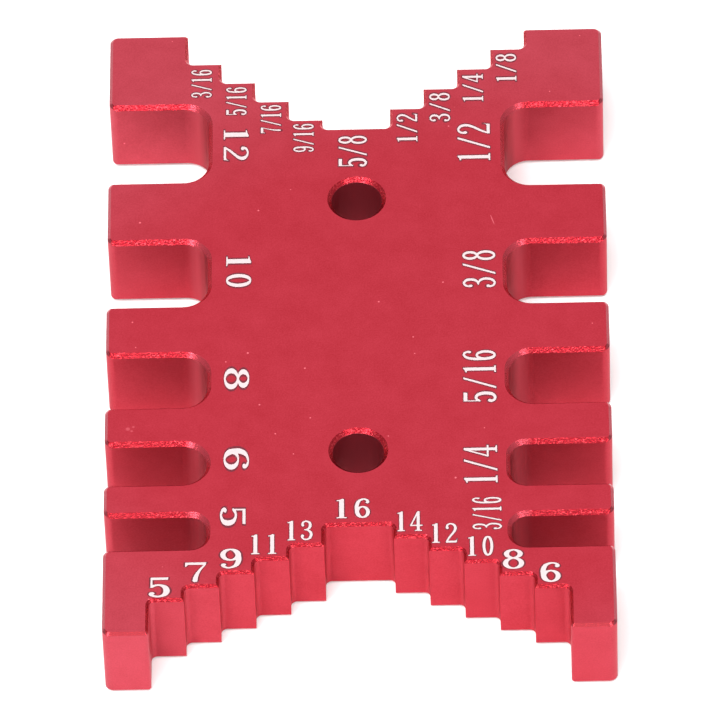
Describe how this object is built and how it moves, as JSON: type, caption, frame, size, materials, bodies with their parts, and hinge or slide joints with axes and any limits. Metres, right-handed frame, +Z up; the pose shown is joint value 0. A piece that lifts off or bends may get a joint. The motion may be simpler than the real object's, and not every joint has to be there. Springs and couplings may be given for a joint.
{
  "type": "slot and step setting gauge",
  "caption": "Flat metal setting gauge with graded open slots along both sides, a stepped notch in each end and through holes; slots and steps are marked in mm and inches.",
  "frame": {"origin": "centre of the lower face, on the plane that the gauge lies on", "axes": "+Z up out of the numbered face; +Y along the length towards the inch steps; +X towards the inch slots"},
  "size_m": [0.06, 0.095, 0.0106],
  "materials": {
    "red_anodised": "fine blasted, satin, red anodised",
    "white_marking": "matt white laser marking"
  },
  "bodies": {
    "root": {"gauge_block": "red_anodised"}
  },
  "joints": []
}
